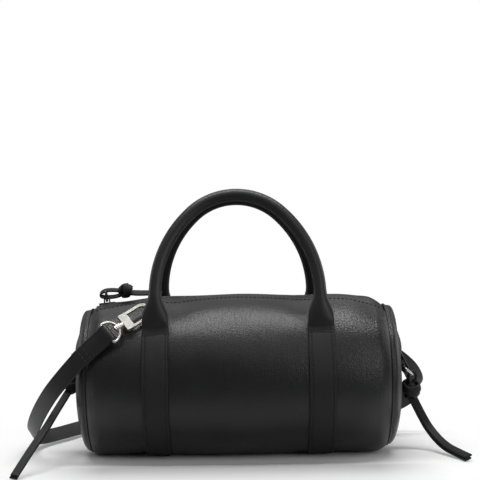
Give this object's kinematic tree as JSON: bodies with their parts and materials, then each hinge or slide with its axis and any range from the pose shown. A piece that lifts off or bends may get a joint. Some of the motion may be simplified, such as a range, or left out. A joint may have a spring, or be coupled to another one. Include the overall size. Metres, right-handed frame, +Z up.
{
  "type": "barrel bag",
  "caption": "Small black leather barrel bag with rolled handles, zip top, knotted laces on end rings and a clip-on shoulder strap.",
  "frame": {"origin": "bottom centre of the bag, on the surface it stands on, under the middle of the barrel", "axes": "+X along the barrel to the right end, +Y to the back, +Z up"},
  "size_m": [0.3449, 0.2374, 0.2056],
  "materials": {
    "black_leather": "fine grain, semi-matte",
    "lace_leather": "smooth, semi-matte",
    "nickel": "polished nickel",
    "zip_tape": "woven",
    "zip_coil": "satin nylon",
    "lining": "fine woven",
    "stiffener": "felted",
    "rope": "twisted cord"
  },
  "bodies": {
    "bag": {"barrel_panel": "black_leather", "left_end_panel": "black_leather", "right_end_panel": "black_leather", "left_piping": "black_leather", "right_piping": "black_leather", "left_band": "black_leather", "right_band": "black_leather", "zip_strip_front": "black_leather", "zip_strip_back": "black_leather", "left_ring_tab": "black_leather", "right_ring_tab": "black_leather", "shoulder_strap": "black_leather", "left_lace_tails": "lace_leather", "right_lace_tails": "lace_leather", "zip_stops": "nickel", "zip_tape_front": "zip_tape", "zip_tape_back": "zip_tape", "zip_coil_front": "zip_coil", "zip_coil_back": "zip_coil", "barrel_lining": "lining", "left_end_lining": "lining", "right_end_lining": "lining", "barrel_stiffener": "stiffener"},
    "front_handle": {"front_handle_cover": "black_leather", "front_handle_core": "rope", "front_handle_feet": "black_leather"},
    "rear_handle": {"rear_handle_cover": "black_leather", "rear_handle_core": "rope", "rear_handle_feet": "black_leather"},
    "zip_slider": {"zip_slider": "nickel"},
    "zip_pull": {"zip_pull_tab": "nickel", "zip_lace": "lace_leather"},
    "left_ring": {"left_end_ring": "nickel", "left_lace_knot": "lace_leather"},
    "right_ring": {"right_end_ring": "nickel", "right_lace_knot": "lace_leather"},
    "front_loop": {"front_strap_ring": "nickel"},
    "front_hook": {"front_hook_rivet": "nickel", "front_hook_body": "nickel", "front_gate_pin": "nickel"},
    "front_gate": {"front_hook_gate": "nickel"},
    "rear_loop": {"rear_strap_ring": "nickel"},
    "rear_hook": {"rear_hook_rivet": "nickel", "rear_hook_body": "nickel", "rear_gate_pin": "nickel"},
    "rear_gate": {"rear_hook_gate": "nickel"}
  },
  "joints": [
    {"name": "front_handle_fold", "type": "hinge", "parent": "bag", "child": "front_handle", "pos_m": [0, -0.05188, 0.10232], "axis": [1, 0, 0], "range_deg": [-4, 140]},
    {"name": "rear_handle_fold", "type": "hinge", "parent": "bag", "child": "rear_handle", "pos_m": [0, 0.05188, 0.10232], "axis": [-1, 0, 0], "range_deg": [-4, 140]},
    {"name": "zip_travel", "type": "hinge", "parent": "bag", "child": "zip_slider", "pos_m": [0, 0, -0.8756], "axis": [0, 1, 0], "range_deg": [0, 11.88]},
    {"name": "zip_pull_fold", "type": "hinge", "parent": "zip_slider", "child": "zip_pull", "pos_m": [-0.10365, 0, 0.12042], "axis": [0, 1, 0], "range_deg": [-55, 0]},
    {"name": "left_ring_swing", "type": "hinge", "parent": "bag", "child": "left_ring", "pos_m": [-0.13122, 0, 0.0645], "axis": [0, 1, 0], "range_deg": [0, 80]},
    {"name": "right_ring_swing", "type": "hinge", "parent": "bag", "child": "right_ring", "pos_m": [0.13122, 0, 0.0645], "axis": [0, -1, 0], "range_deg": [0, 80]},
    {"name": "front_loop_swing", "type": "hinge", "parent": "bag", "child": "front_loop", "pos_m": [-0.0968, -0.05712, 0.09829], "axis": [0.6146, -0.3099, -0.7254], "range_deg": [-1.5, 1.5]},
    {"name": "front_hook_swivel", "type": "hinge", "parent": "front_loop", "child": "front_hook", "pos_m": [-0.0968, -0.05712, 0.09829], "axis": [0.766, 0.4541, 0.455], "range_deg": [-12, 12]},
    {"name": "front_gate_open", "type": "hinge", "parent": "front_hook", "child": "front_gate", "pos_m": [-0.0808, -0.05107, 0.10224], "axis": [0.1884, -0.8353, 0.5165], "range_deg": [0, 25], "stiffness_Nm_per_rad": 0.02, "springref_deg": -8.59},
    {"name": "rear_loop_swing", "type": "hinge", "parent": "bag", "child": "rear_loop", "pos_m": [0.0968, 0.05712, 0.09829], "axis": [-0.6146, 0.3099, -0.7254], "range_deg": [-1.5, 1.5]},
    {"name": "rear_hook_swivel", "type": "hinge", "parent": "rear_loop", "child": "rear_hook", "pos_m": [0.0968, 0.05712, 0.09829], "axis": [-0.766, -0.4541, 0.455], "range_deg": [-12, 12]},
    {"name": "rear_gate_open", "type": "hinge", "parent": "rear_hook", "child": "rear_gate", "pos_m": [0.0808, 0.05107, 0.10224], "axis": [-0.1884, 0.8353, 0.5165], "range_deg": [0, 25], "stiffness_Nm_per_rad": 0.02, "springref_deg": -8.59}
  ]
}
